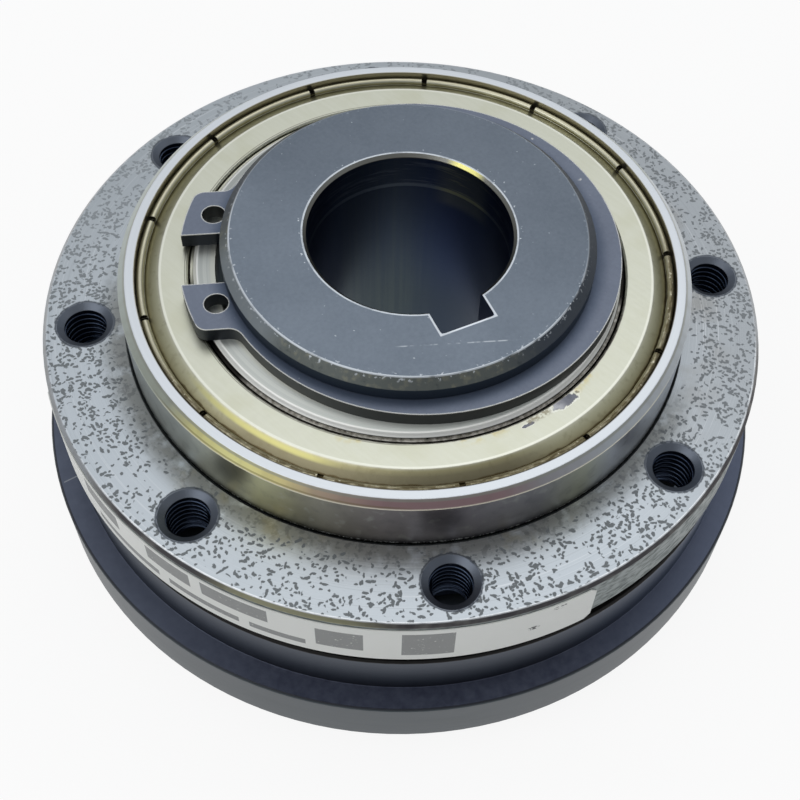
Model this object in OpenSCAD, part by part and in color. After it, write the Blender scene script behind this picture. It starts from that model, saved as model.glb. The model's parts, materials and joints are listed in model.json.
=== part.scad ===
// Ball-detent safety clutch on a keyed hub.
//
// The shaft is keyed into the hub. The hub's carrier holds twelve detent balls in axial bores.
// Cup springs press the thrust disc against the balls, and the balls into conical pockets under
// the output flange, which turns on a deep-groove bearing. At overload the flange drives the
// balls out of the pockets and pushes the thrust disc down. The adjusting nut sets the springs.
//
// Frame: origin at the centre of the hub's lower face, +Z along the bore towards the bearing,
// keyway towards -Y. All heights are chained downwards from the hub's upper face.

/* [Hub] */
// Diameter of the keyed bore
bore_d = 22; // [18:0.5:24]
// Width of the keyway
key_w = 6; // [4:0.5:8]
// Depth of the keyway beyond the wall of the bore
key_depth = 2.8; // [1.5:0.1:3.6]
// Rounding of the keyway's floor corners
key_corner = 0.4; // [0.1:0.1:0.8]
// Length of the hub
hub_l = 40; // [40:0.5:50]
// Height of the hub's nose above the bearing
nose_h = 4.3; // [3:0.1:4.8]
// Chamfer round the nose
nose_chamfer = 1; // [0.2:0.1:1.4]
// Chamfer at both ends of the bore
bore_chamfer = 0.35; // [0.1:0.05:0.8]
// Height of the shoulder that the bearing's inner ring stands on
shoulder_h = 2.8; // [1.5:0.1:3]
// Width of the ball carrier's rim outside its balls
carrier_rim = 4; // [2:0.5:6]
// Thickness of the ball carrier
carrier_t = 4.4; // [3.6:0.1:4.8]
// Edge chamfer of the ball carrier
carrier_chamfer = 0.5; // [0.1:0.1:1]
// Length of thread left above the adjusting nut
thread_spare = 2; // [1:0.1:3]
// Pitch of that thread
thread_pitch = 1.5; // [1:0.25:2]
// Width of the relief groove behind the thread
relief_w = 1.2; // [0.8:0.1:1.4]
// Depth of the relief groove
relief_depth = 1.1; // [0.9:0.1:1.5]

/* [Bearing] */
// Outer diameter of the bearing
brg_od = 62; // [60:0.5:63]
// Bore of the bearing, which is also the hub's outer diameter
brg_id = 40; // [39:0.2:40.6]
// Width of the bearing
brg_w = 12; // [11.6:0.1:13]
// Height by which the bearing stands above the flange
brg_proud = 7.4; // [6:0.1:8]
// Edge chamfer of the bearing's rings
brg_chamfer = 0.8; // [0.4:0.1:1]
// Distance from the circle of the balls in to the inner ring's shoulder
inner_land = 2.35; // [2.2:0.05:2.6]
// Width of the step on the inner ring's shoulder, behind the shield's lip
land_step = 0.3; // [0.1:0.05:0.35]
// Depth of that step below the ring's face
land_step_depth = 0.6; // [0.5:0.1:1.2]
// Distance from the circle of the balls out to the outer ring's shoulder
outer_land = 2.4; // [2.2:0.05:2.6]
// Diameter of the bearing's balls
brg_ball_d = 6.35; // [6:0.05:6.5]
// Number of bearing balls
brg_ball_n = 15; // [12:1:17]
// Radial width of the ball cage
cage_w = 1.8; // [1.4:0.1:2.2]
// Sheet thickness of the ball cage
cage_t = 0.6; // [0.4:0.05:0.7]
// Diameter of the cage rivets
rivet_d = 0.9; // [0.6:0.1:1.1]
// Diameter of the rivet heads
rivet_head_d = 1.35; // [1.2:0.05:1.6]
// Height of the rivet heads
rivet_head_h = 0.3; // [0.2:0.05:0.4]

/* [Shield] */
// Sheet thickness of the shield
shield_t = 0.3; // [0.2:0.05:0.4]
// Gap between the shield and the inner ring's shoulder
shield_gap = 0.5; // [0.45:0.05:0.8]
// Width from the edge of the shield's flat to the outside of its bead
shield_slope_w = 2.4; // [2:0.1:2.8]
// Depth by which the rolled bead sits in the outer ring's shoulder
bead_seat = 1.2; // [1:0.05:1.25]
// Diameter of the bead's section
bead_w = 0.8; // [0.6:0.05:0.9]
// Depth of the flat below the bearing's face
shield_sink = 0.3; // [0.2:0.05:0.5]
// Depth of the valley beside the bead, below the bearing's face
valley_sink = 1.15; // [1:0.05:1.3]
// Length of the inner lip, down from the flat's upper side
shield_lip = 0.9; // [0.5:0.1:1.2]
// Rounding at the top of that lip
shield_edge = 0.2; // [0.1:0.05:0.25]
// Number of crimping notches in the bead
notch_n = 13; // [8:1:18]
// Width of a crimping notch
notch_w = 0.6; // [0.3:0.1:1]
// Direction of the first crimping notch, in degrees
notch_phase = 6.1; // [0:0.1:27]
// Thickness left under and inside a notch
notch_skin = 0.1; // [0.05:0.01:0.15]

/* [Retaining ring] */
// Thickness of the retaining ring
clip_t = 1.75; // [1.5:0.05:2]
// Depth of its groove in the hub
groove_depth = 1.25; // [1:0.05:1.5]
// Width of the ring's section opposite the gap
clip_w = 4.2; // [3.6:0.1:4.6]
// Distance between the centres of the outside and the inside
clip_ecc = 1.1; // [0.6:0.1:1.4]
// Width of the gap between the lugs
clip_gap = 6.8; // [5:0.1:8]
// Width from outside to outside of the two lugs
lug_span = 19; // [18:0.2:20]
// Height of the lugs, from the groove's floor to their tips
lug_h = 5.6; // [5.2:0.1:6]
// Rounding of the lug's outer corner
lug_round = 1.3; // [0.6:0.1:2]
// Fillet between a lug and the ring
lug_fillet = 1.6; // [1:0.1:2.4]
// Diameter of the plier holes
plier_hole_d = 2.5; // [2:0.1:2.8]
// Height of the plier holes' centres above the groove's floor
plier_h = 2.75; // [2.4:0.05:3.2]
// Angle between the plier holes, in degrees
plier_angle = 33.2; // [32:0.2:35]
// Direction of the ring's gap, in degrees
clip_phase = 161.2; // [0:0.2:360]

/* [Output flange] */
// Diameter of the flange
flange_d = 80; // [79.6:0.2:84]
// Thickness of the flange's rim
flange_t = 6.6; // [6:0.1:7.4]
// Edge chamfer of the flange
flange_chamfer = 0.4; // [0.2:0.1:0.8]
// Thickness of the boss under the bearing, which holds the pockets
boss_t = 3.5; // [3.2:0.1:4]
// Wall of the boss outside the bearing
boss_wall = 2; // [1.5:0.1:2.4]
// Width left between the pockets and the inside of the boss
boss_lip = 0.7; // [0.3:0.1:1]
// Chamfer at the mouth of the bearing seat
seat_chamfer = 0.3; // [0.1:0.05:0.5]
// Number of threaded holes
screw_n = 8; // [4:1:10]
// Nominal thread diameter of the threaded holes
screw_d = 5; // [4:0.5:6]
// Thread pitch of the threaded holes
screw_pitch = 0.8; // [0.5:0.1:1]
// Width of the countersink round a threaded hole
screw_sink = 0.75; // [0.3:0.05:0.9]
// Included angle of that countersink, in degrees
screw_sink_angle = 120; // [90:5:130]
// Direction of the first threaded hole, in degrees
screw_phase = 26.9; // [0:0.1:44]

/* [Ball detent] */
// Diameter of the detent balls
ball_d = 8; // [7.6:0.1:8.4]
// Number of detent balls
ball_n = 12; // [6:1:12]
// Diameter of the circle through the detent balls
ball_pcd = 56; // [55.6:0.1:56.4]
// Depth to which a ball sits in its pocket, which is the lift at overload
ball_lift = 1.6; // [1.2:0.1:1.8]
// Angle between a pocket's flank and its axis, in degrees
pocket_angle = 45; // [42:1:50]
// Free depth of a pocket beyond its ball
pocket_play = 0.3; // [0.2:0.05:0.5]
// Running gap between the carrier and the boss
boss_gap = 0.8; // [0.5:0.1:1]

/* [Thrust disc] */
// Width by which the thrust disc's rim stands out beyond its barrel
rim_w = 2.65; // [1.5:0.05:5]
// Thickness of the rim
disc_t = 7; // [6.4:0.1:7.4]
// Clearance of the barrel round the ball carrier
barrel_clear = 1; // [0.5:0.1:2]
// Wall of the barrel
barrel_wall = 2.6; // [2:0.1:2.9]
// Height of the barrel
barrel_h = 6.45; // [6:0.05:6.8]
// Open gap between the barrel and the flange's rim
barrel_gap = 3.05; // [2.6:0.05:3.4]
// Edge chamfer of the thrust disc
disc_chamfer = 0.2; // [0.1:0.1:1]
// Wall of the cup below the web
cup_wall = 4.25; // [3:0.05:6]
// Thickness of the web under the race
web_t = 1.9; // [1.6:0.1:2.2]
// Thickness of the hardened race
race_t = 1.5; // [1.2:0.1:1.8]
// Radial width of the race
race_w = 8.8; // [8:0.1:9]
// Height by which the race stands above the web's lips
race_proud = 0.4; // [0.2:0.1:0.6]
// Edge chamfer of the race
race_edge = 0.3; // [0.1:0.1:0.5]

/* [Cup springs] */
// Gap between the cup springs and the wall of the cup
spring_cup_gap = 3; // [2:0.5:5]
// Gap between the cup springs and the hub
spring_hub_gap = 0.6; // [0.4:0.1:1.5]
// Thickness of a cup spring
spring_t = 1.15; // [1:0.05:1.2]
// Height of a loaded spring's cone
spring_cone = 1.05; // [0.9:0.05:1.1]

/* [Adjusting nut] */
// Thickness of the washer between the springs and the nut
washer_t = 1; // [0.8:0.1:1.1]
// Outer diameter of that washer
washer_od = 54; // [50:1:60]
// Diameter of the adjusting nut
nut_d = 56; // [52:1:62]
// Thickness of the adjusting nut
nut_t = 4.5; // [4:0.1:4.6]
// Edge chamfer of the adjusting nut
nut_chamfer = 0.5; // [0.2:0.1:0.8]
// Number of holes for the pin spanner
spanner_n = 6; // [4:1:8]
// Diameter of the spanner holes
spanner_d = 4; // [3:0.1:4.4]
// Depth of the spanner holes
spanner_depth = 3; // [2:0.1:3.6]
// Number of radial lock screws
lock_n = 3; // [2:1:3]
// Diameter of the lock screws
lock_d = 3; // [2.4:0.1:3.2]
// Length of the brass pad in front of a lock screw
pad_l = 2.2; // [1.6:0.1:3]
// Direction of the first lock screw, in degrees
lock_phase = 30; // [20:1:40]
// Diameter to the corners of a lock screw's hexagon socket
socket_d = 1.75; // [1.4:0.05:1.9]
// Depth of that socket
socket_depth = 1.5; // [1:0.1:2]

/* [Label] */
// Height of the rating label
label_h = 6.65; // [5:0.05:7]
// Distance from the flange's face to the label's upper edge
label_drop = 0.8; // [0.5:0.05:1.2]
// Thickness of the label
label_t = 0.12; // [0.08:0.01:0.3]
// Arc covered by the label, in degrees
label_arc = 100; // [60:1:120]
// Direction of the label's right-hand end, in degrees
label_phase = 272.8; // [0:0.2:360]

/* [Fits] */
// Radial gap of the bearing's seats
seat_gap = 0.005; // [0:0.001:0.01]
// Radial running clearance of the thrust disc, the balls and the nut's thread
run_gap = 0.05; // [0.02:0.01:0.08]
// Gap where a ball rolls on its race
roll_gap = 0.02; // [0.01:0.005:0.03]
// Radial clearance of the washer and the springs' end faces
loose_gap = 0.15; // [0.1:0.05:0.3]
// Play of the retaining ring and of the shield's bead in their grooves
groove_play = 0.1; // [0.05:0.01:0.15]

/* [Hidden] */
$fn = 96;
eps = 0.5;

// Heights, from the hub's upper face down
z_brg_top = hub_l - nose_h;
z_brg = z_brg_top - brg_w;
z_brg_mid = z_brg + brg_w / 2;
z_flange_top = z_brg_top - brg_proud;
z_rim = z_flange_top - flange_t;
z_boss = z_brg - boss_t;
z_carrier_top = z_boss - boss_gap;
z_carrier = z_carrier_top - carrier_t;
z_ball = z_boss + ball_lift - ball_d / 2;
z_race_top = z_ball - ball_d / 2 - roll_gap;
z_race = z_race_top - race_t;
z_web = z_race - web_t;
z_lip = z_race_top - race_proud;
z_barrel_top = z_rim - barrel_gap;
z_step = z_barrel_top - barrel_h;
z_disc = z_step - disc_t;
z_springs = z_web - 2 * (spring_t + spring_cone) - roll_gap;
z_washer = z_springs - washer_t;
z_nut = z_washer - nut_t;
z_thread = z_washer + thread_spare;

// Hub
bore_r = bore_d / 2;
hub_r = brg_id / 2;
shoulder_r = hub_r + shoulder_h;
groove_r = hub_r - groove_depth;
// Half the depth of a metric thread, in pitches, down to its pitch line
pitch_line = 0.325;
thread_r = hub_r - pitch_line * thread_pitch;

// Bearing: race radii that give each ball its gap
brg_r = brg_od / 2;
brg_pcd = (brg_id + brg_od) / 2;
brg_ball_r = brg_ball_d / 2;
inner_land_r = brg_pcd / 2 - inner_land;
outer_land_r = brg_pcd / 2 + outer_land;
// Usual radius of a race groove, in ball diameters
conformity = 0.52;
race_groove_r = conformity * brg_ball_d;
inner_groove_c = brg_pcd / 2 - brg_ball_r - roll_gap + race_groove_r;
outer_groove_c = brg_pcd / 2 + brg_ball_r + roll_gap - race_groove_r;

// Shield and its groove in the outer ring
shield_r = inner_land_r + shield_gap;
bead_r = outer_land_r + bead_seat;
shield_flat_r = bead_r - shield_slope_w;
shield_groove_r = bead_r + groove_play;
shield_groove_depth = valley_sink + shield_t + 2 * groove_play;
bead_c = bead_r - bead_w / 2;
bead_sink = valley_sink - bead_w / 4;

// Retaining ring: an eccentric outside that is widest opposite the gap
clip_r = groove_r + clip_w - clip_ecc;
lug_r = groove_r + lug_h;
plier_r = groove_r + plier_h;

// Output flange and its pockets
flange_r = flange_d / 2;
screw_pcd = (brg_od + flange_d) / 2;
pocket_apex = z_ball + (ball_d / 2 + roll_gap) / sin(pocket_angle);
pocket_r = (pocket_apex - z_boss) * tan(pocket_angle);
boss_r = brg_r + boss_wall;
boss_inner_r = ball_pcd / 2 - pocket_r - boss_lip;

// Thrust disc, round the ball carrier, and the springs in its cup
carrier_r = (ball_pcd + ball_d) / 2 + carrier_rim;
barrel_r = carrier_r + barrel_clear + barrel_wall;
disc_r = barrel_r + rim_w;
cup_r = disc_r - cup_wall;
spring_r = cup_r - spring_cup_gap;
spring_inner_r = hub_r + spring_hub_gap;

// Points along a circular arc
function arc(c, r, a0, a1, n = 8) =
    [for (i = [0 : n]) let (a = a0 + (a1 - a0) * i / n) [c[0] + r * cos(a), c[1] + r * sin(a)]];

// Copies its children n times about the Z axis, the first one at the direction phase
module around(n, phase = 0) {
    for (i = [0 : n - 1]) rotate([0, 0, phase + i * 360 / n]) children();
}

// Turned hub with its ball carrier, bearing seat, ring groove, thread and keyway
module hub() {
    color("dimgray") difference() {
        rotate_extrude() polygon([
            [bore_r + bore_chamfer, 0],
            [thread_r - thread_pitch / 2, 0],
            [thread_r, thread_pitch / 2],
            [thread_r, z_thread],
            [hub_r - relief_depth, z_thread],
            [hub_r - relief_depth, z_thread + relief_w],
            [hub_r, z_thread + relief_w],
            [hub_r, z_carrier],
            [carrier_r - carrier_chamfer, z_carrier],
            [carrier_r, z_carrier + carrier_chamfer],
            [carrier_r, z_carrier_top - carrier_chamfer],
            [carrier_r - carrier_chamfer, z_carrier_top],
            [shoulder_r, z_carrier_top],
            [shoulder_r, z_brg],
            [hub_r - seat_gap, z_brg],
            [hub_r - seat_gap, z_brg_top],
            [groove_r, z_brg_top],
            [groove_r, z_brg_top + clip_t + groove_play],
            [hub_r, z_brg_top + clip_t + groove_play],
            [hub_r, hub_l - nose_chamfer],
            [hub_r - nose_chamfer, hub_l],
            [bore_r + bore_chamfer, hub_l],
            [bore_r, hub_l - bore_chamfer],
            [bore_r, bore_chamfer]
        ]);
        keyway();
        around(ball_n)
            translate([ball_pcd / 2, 0, z_carrier - eps])
                cylinder(d = ball_d + 2 * run_gap, h = carrier_t + 2 * eps);
    }
}

// Cutter for the keyway, from the bore's axis outwards, with rounded floor corners
module keyway() {
    floor_y = -bore_r - key_depth;
    h = hub_l + 2 * eps;
    translate([-key_w / 2, floor_y + key_corner, -eps])
        cube([key_w, -floor_y - key_corner, h]);
    translate([key_corner - key_w / 2, floor_y, -eps])
        cube([key_w - 2 * key_corner, key_depth, h]);
    for (side = [-1, 1]) translate([side * (key_w / 2 - key_corner), floor_y + key_corner, -eps])
        cylinder(r = key_corner, h = h);
}

// Section of a bearing ring from its face at radius a to its shoulder at radius b
module ring_section(a, b, face) {
    c = b > a ? brg_chamfer : -brg_chamfer;
    polygon([
        [a + c, z_brg], [face, z_brg], [b, z_brg + abs(b - face)],
        [b, z_brg_top - abs(b - face)], [face, z_brg_top], [a + c, z_brg_top],
        [a, z_brg_top - brg_chamfer], [a, z_brg + brg_chamfer]
    ]);
}

// Inner ring with its ball groove and the stepped shoulder that the shield's lip runs round
module bearing_inner_ring() {
    color("lightgray") difference() {
        rotate_extrude() {
            ring_section(hub_r, inner_land_r, inner_land_r - brg_chamfer / 2);
            translate([hub_r + brg_chamfer, z_brg + land_step_depth])
                square([inner_land_r + land_step - hub_r - brg_chamfer,
                        brg_w - 2 * land_step_depth]);
        }
        rotate_extrude() translate([inner_groove_c, z_brg_mid]) circle(r = race_groove_r);
    }
}

// Outer ring with its ball groove and the groove that the shield is pressed into
module bearing_outer_ring() {
    color("silver") difference() {
        rotate_extrude() ring_section(brg_r, outer_land_r, outer_land_r + brg_chamfer / 2);
        rotate_extrude() translate([outer_groove_c, z_brg_mid]) circle(r = race_groove_r);
        translate([0, 0, z_brg_top - shield_groove_depth])
            cylinder(r = shield_groove_r, h = shield_groove_depth + eps);
    }
}

// Full set of bearing balls
module bearing_balls() {
    color("gainsboro") around(brg_ball_n)
        translate([brg_pcd / 2, 0, z_brg_mid]) sphere(d = brg_ball_d);
}

// One pressed half of the riveted ribbon cage: flat tabs with a dome over each ball
module cage_half() {
    ball_gap_r = brg_ball_r + run_gap;
    color("darkkhaki") difference() {
        intersection() {
            union() {
                translate([0, 0, z_brg_mid]) cylinder(d = brg_pcd + 2 * cage_w, h = cage_t);
                around(brg_ball_n) translate([brg_pcd / 2, 0, z_brg_mid])
                    sphere(r = ball_gap_r + cage_t);
            }
            difference() {
                translate([0, 0, z_brg_mid])
                    cylinder(d = brg_pcd + cage_w, h = brg_w / 2);
                translate([0, 0, z_brg_mid - eps])
                    cylinder(d = brg_pcd - cage_w, h = brg_w / 2 + 2 * eps);
            }
        }
        around(brg_ball_n) translate([brg_pcd / 2, 0, z_brg_mid]) sphere(r = ball_gap_r);
        cage_rivet_places() cylinder(d = rivet_d, h = 4 * cage_t, center = true);
    }
}

module bearing_cage_upper() {
    cage_half();
}

module bearing_cage_lower() {
    translate([0, 0, z_brg_mid]) mirror([0, 0, 1]) translate([0, 0, -z_brg_mid]) cage_half();
}

// Places its children midway between the balls
module cage_rivet_places() {
    around(brg_ball_n, 180 / brg_ball_n) translate([brg_pcd / 2, 0, z_brg_mid]) children();
}

// Rivets through the tabs of both cage halves, with a low head at each end
module bearing_cage_rivets() {
    color("gainsboro") cage_rivet_places() {
        cylinder(d = rivet_d, h = 2 * (cage_t + rivet_head_h), center = true);
        for (side = [0, 1]) mirror([0, 0, side])
            translate([0, 0, cage_t])
                cylinder(d1 = rivet_head_d, d2 = rivet_d, h = rivet_head_h);
    }
}

// Pressed shield: turned-down inner lip, flat, slope, valley and rolled bead with notches
module bearing_shield() {
    valley_r = bead_c - bead_w / 2;
    color("wheat") difference() {
        union() {
            rotate_extrude() polygon([
                [shield_r, z_brg_top - shield_sink - shield_edge],
                [shield_r + shield_edge, z_brg_top - shield_sink],
                [shield_flat_r, z_brg_top - shield_sink],
                [valley_r, z_brg_top - valley_sink],
                [bead_c, z_brg_top - valley_sink],
                [bead_c, z_brg_top - valley_sink - shield_t],
                [valley_r - shield_t / 2, z_brg_top - valley_sink - shield_t],
                [shield_flat_r - shield_t / 2, z_brg_top - shield_sink - shield_t],
                [shield_r + shield_t, z_brg_top - shield_sink - shield_t],
                [shield_r + shield_t, z_brg_top - shield_sink - shield_lip],
                [shield_r, z_brg_top - shield_sink - shield_lip]
            ]);
            rotate_extrude() translate([bead_c, z_brg_top - bead_sink]) circle(d = bead_w);
        }
        around(notch_n, notch_phase)
            translate([valley_r + notch_skin, -notch_w / 2, z_brg_top - valley_sink + notch_skin])
                cube([bead_w + eps, notch_w, valley_sink]);
    }
}

// Outline of one lug of the retaining ring, with the gap's centre line along +X
module clip_lug() {
    half_gap = clip_gap / 2;
    side_y = lug_span / 2;
    corner_c = [sqrt(pow(lug_r - lug_round, 2) - pow(side_y - lug_round, 2)), side_y - lug_round];
    corner_a = atan2(corner_c[1], corner_c[0]);
    fillet_y = side_y + lug_fillet;
    fillet_x = sqrt(pow(clip_r + lug_fillet, 2) - pow(fillet_y, 2)) - clip_ecc;
    ring_a = 180 + atan2(fillet_y, fillet_x + clip_ecc);
    root = groove_r - eps;
    polygon(concat(
        [[root, half_gap]],
        arc([0, 0], lug_r, asin(half_gap / lug_r), corner_a),
        arc(corner_c, lug_round, corner_a, 90),
        arc([fillet_x, fillet_y], lug_fillet, 270, ring_a),
        [[root, fillet_y - lug_fillet]]
    ));
}

// External retaining ring with an eccentric outside and two lugs with plier holes
module retaining_ring() {
    color("slategray") translate([0, 0, z_brg_top]) rotate([0, 0, clip_phase]) difference() {
        union() {
            translate([-clip_ecc, 0, 0]) cylinder(r = clip_r, h = clip_t);
            for (side = [0, 1]) mirror([0, side, 0]) linear_extrude(clip_t) clip_lug();
        }
        translate([0, 0, -eps]) cylinder(r = groove_r, h = clip_t + 2 * eps);
        translate([0, -clip_gap / 2, -eps]) cube([2 * lug_r, clip_gap, clip_t + 2 * eps]);
        for (side = [-1, 1]) rotate([0, 0, side * plier_angle / 2])
            translate([plier_r, 0, -eps]) cylinder(d = plier_hole_d, h = clip_t + 2 * eps);
    }
}

// Flange with the bearing seat, the threaded holes and the ball pockets in its boss
module output_flange() {
    seat_r = brg_r + seat_gap;
    screw_r = screw_d / 2 - pitch_line * screw_pitch;
    sink_slope = tan(screw_sink_angle / 2);
    floor_z = z_ball + ball_d / 2 + pocket_play;
    color("lightsteelblue") difference() {
        rotate_extrude() polygon([
            [boss_inner_r, z_boss],
            [boss_r, z_boss],
            [boss_r, z_rim],
            [flange_r - flange_chamfer, z_rim],
            [flange_r, z_rim + flange_chamfer],
            [flange_r, z_flange_top - flange_chamfer],
            [flange_r - flange_chamfer, z_flange_top],
            [seat_r + seat_chamfer, z_flange_top],
            [seat_r, z_flange_top - seat_chamfer],
            [seat_r, z_brg],
            [boss_inner_r, z_brg]
        ]);
        around(screw_n, screw_phase) translate([screw_pcd / 2, 0, 0]) {
            translate([0, 0, z_rim - eps]) cylinder(r = screw_r, h = flange_t + 2 * eps);
            translate([0, 0, z_flange_top - screw_sink / sink_slope])
                cylinder(r1 = screw_r, r2 = screw_r + screw_sink + eps * sink_slope,
                         h = screw_sink / sink_slope + eps);
        }
        around(ball_n) translate([ball_pcd / 2, 0, z_boss - eps])
            cylinder(r1 = pocket_r + eps * tan(pocket_angle),
                     r2 = (pocket_apex - floor_z) * tan(pocket_angle),
                     h = floor_z - z_boss + eps);
    }
}

// Printed label stuck round the flange's rim
module rating_label() {
    color("ivory") rotate([0, 0, label_phase - label_arc]) rotate_extrude(angle = label_arc)
        translate([flange_r, z_flange_top - label_drop - label_h]) square([label_t, label_h]);
}

// Detent balls in the carrier's bores
module detent_balls() {
    color("gainsboro") around(ball_n)
        translate([ball_pcd / 2, 0, z_ball]) sphere(d = ball_d);
}

// Turned thrust disc: guide bore, race recess, barrel, rim and the cup below the web
module thrust_disc() {
    recess_w = race_w + 2 * roll_gap;
    color("darkslategray") rotate_extrude() polygon([
        [hub_r + run_gap, z_web],
        [hub_r + run_gap, z_lip],
        [ball_pcd / 2 - recess_w / 2, z_lip],
        [ball_pcd / 2 - recess_w / 2, z_race],
        [ball_pcd / 2 + recess_w / 2, z_race],
        [ball_pcd / 2 + recess_w / 2, z_lip],
        [barrel_r - barrel_wall, z_lip],
        [barrel_r - barrel_wall, z_barrel_top],
        [barrel_r - disc_chamfer, z_barrel_top],
        [barrel_r, z_barrel_top - disc_chamfer],
        [barrel_r, z_step],
        [disc_r - disc_chamfer, z_step],
        [disc_r, z_step - disc_chamfer],
        [disc_r, z_disc + disc_chamfer],
        [disc_r - disc_chamfer, z_disc],
        [cup_r + disc_chamfer, z_disc],
        [cup_r, z_disc + disc_chamfer],
        [cup_r, z_web]
    ]);
}

// Hardened flat ring that the detent balls press on
module thrust_race() {
    inner_r = ball_pcd / 2 - race_w / 2;
    outer_r = ball_pcd / 2 + race_w / 2;
    color("lightgray") rotate_extrude() polygon([
        [inner_r, z_race], [outer_r, z_race], [outer_r, z_race_top - race_edge],
        [outer_r - race_edge, z_race_top], [inner_r + race_edge, z_race_top],
        [inner_r, z_race_top - race_edge]
    ]);
}

// Conical spring ring; the edge named low stands at the height z
module cup_spring(z, inner_low) {
    low = inner_low ? spring_inner_r : spring_r;
    high = inner_low ? spring_r : spring_inner_r;
    rotate_extrude() polygon([
        [low, z], [high, z + spring_cone],
        [high, z + spring_cone + spring_t], [low, z + spring_t]
    ]);
}

module cup_spring_lower() {
    color("slategray") cup_spring(z_springs, true);
}

module cup_spring_upper() {
    color("gray") cup_spring(z_springs + spring_cone + spring_t, false);
}

// Flat washer between the springs and the nut
module spring_washer() {
    color("silver") translate([0, 0, z_washer]) difference() {
        cylinder(d = washer_od, h = washer_t);
        translate([0, 0, -eps]) cylinder(r = hub_r + loose_gap, h = washer_t + 2 * eps);
    }
}

// Places its children at the lock screws, with +X pointing outwards
module lock_places() {
    around(lock_n, lock_phase) translate([0, 0, z_nut + nut_t / 2]) rotate([0, 90, 0]) children();
}

// Round adjusting nut with spanner holes and radial holes for the lock screws
module adjusting_nut() {
    nut_r = nut_d / 2;
    spanner_r = (thread_r + nut_r) / 2;
    color("dimgray") difference() {
        rotate_extrude() polygon([
            [thread_r + run_gap + nut_chamfer, z_nut],
            [nut_r - nut_chamfer, z_nut],
            [nut_r, z_nut + nut_chamfer],
            [nut_r, z_washer - nut_chamfer],
            [nut_r - nut_chamfer, z_washer],
            [thread_r + run_gap, z_washer],
            [thread_r + run_gap, z_nut + nut_chamfer]
        ]);
        around(spanner_n) translate([spanner_r, 0, z_nut - eps])
            cylinder(d = spanner_d, h = spanner_depth + eps);
        lock_places() translate([0, 0, thread_r - eps])
            cylinder(d = lock_d + 2 * roll_gap, h = nut_r - thread_r + 2 * eps);
    }
}

// Brass pads that the lock screws press on the thread
module lock_pads() {
    color("goldenrod") lock_places()
        translate([0, 0, thread_r + loose_gap]) cylinder(d = lock_d - 2 * run_gap, h = pad_l);
}

// Headless lock screws with a hexagon socket
module lock_screws() {
    inner = thread_r + loose_gap + pad_l + roll_gap;
    outer = nut_d / 2 - nut_chamfer;
    color("darkgray") lock_places() difference() {
        translate([0, 0, inner]) cylinder(d = lock_d, h = outer - inner);
        translate([0, 0, outer - socket_depth])
            cylinder(d = socket_d, h = socket_depth + eps, $fn = 6);
    }
}

hub();
bearing_inner_ring();
retaining_ring();
output_flange();
bearing_outer_ring();
bearing_shield();
rating_label();
bearing_balls();
bearing_cage_upper();
bearing_cage_lower();
bearing_cage_rivets();
thrust_disc();
thrust_race();
detent_balls();
cup_spring_upper();
cup_spring_lower();
spring_washer();
adjusting_nut();
lock_screws();
lock_pads();
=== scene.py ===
# %% [markdown]
# # A ball-detent safety clutch, dressed for the camera
# The clutch is a keyed hub with a shielded bearing, an output flange and a thrust disc. Its solids
# come ready made from the fixed frame, in metres, with +Z along the bore. This lesson gives every
# visible surface its finish, and adds what the solids leave out: the printed label and the screw
# threads. The frame is loaded first.

# %% Load the fixed frame
import json
import math
import bpy
from mathutils import Matrix, Vector


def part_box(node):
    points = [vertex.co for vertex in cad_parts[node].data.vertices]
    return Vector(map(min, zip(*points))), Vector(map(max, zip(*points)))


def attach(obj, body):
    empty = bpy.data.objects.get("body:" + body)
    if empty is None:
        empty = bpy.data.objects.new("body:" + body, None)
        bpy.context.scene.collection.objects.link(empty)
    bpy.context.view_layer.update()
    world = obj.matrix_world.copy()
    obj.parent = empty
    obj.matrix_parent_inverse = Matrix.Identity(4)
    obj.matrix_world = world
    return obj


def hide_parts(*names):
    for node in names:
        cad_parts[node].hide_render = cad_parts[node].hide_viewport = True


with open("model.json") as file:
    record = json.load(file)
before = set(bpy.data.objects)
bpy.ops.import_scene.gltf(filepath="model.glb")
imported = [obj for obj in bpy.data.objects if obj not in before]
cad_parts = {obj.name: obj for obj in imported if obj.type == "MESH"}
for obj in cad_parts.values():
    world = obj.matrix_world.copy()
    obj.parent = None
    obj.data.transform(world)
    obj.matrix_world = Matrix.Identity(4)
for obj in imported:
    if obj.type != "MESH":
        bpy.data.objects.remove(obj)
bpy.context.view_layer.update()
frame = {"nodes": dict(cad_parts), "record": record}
nodes = frame["nodes"]
MM = 0.001
print("pieces in the frame:", len(nodes))


def reach(node):
    """Greatest radius and highest point of a turned node, in millimetres."""
    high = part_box(node)[1]
    return high.x / MM, high.z / MM

# %% [markdown]
# ## The camera
# The photograph looks down into the bore from the front left, close up, so the perspective is
# strong. The camera is given by where it stands, by the direction it looks in and by a small roll,
# because the hand that took the picture wasn't level. A little shift does what cropping did.

# %% Place the camera
camera_place = Vector((-40.49, -81.95, 142.47)) * MM
camera_turn = math.radians(-32.6)
camera_elevation = math.radians(54.85)
camera_roll = math.radians(6.94)

bpy.ops.object.camera_add()
camera = bpy.context.object
camera.name = "camera"
camera.matrix_world = (
    Matrix.Translation(camera_place)
    @ Matrix.Rotation(camera_turn, 4, "Z")
    @ Matrix.Rotation(math.pi / 2 - camera_elevation, 4, "X")
    @ Matrix.Rotation(camera_roll, 4, "Z")
)
camera.data.sensor_width = 36
camera.data.lens = 57.94
camera.data.shift_x = -0.1092
camera.data.shift_y = -0.0188
camera.data.clip_start = 0.001
bpy.context.scene.camera = camera
bpy.context.scene.view_settings.view_transform = "Standard"
print("camera distance:", round(camera_place.length, 3), "m")

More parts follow.
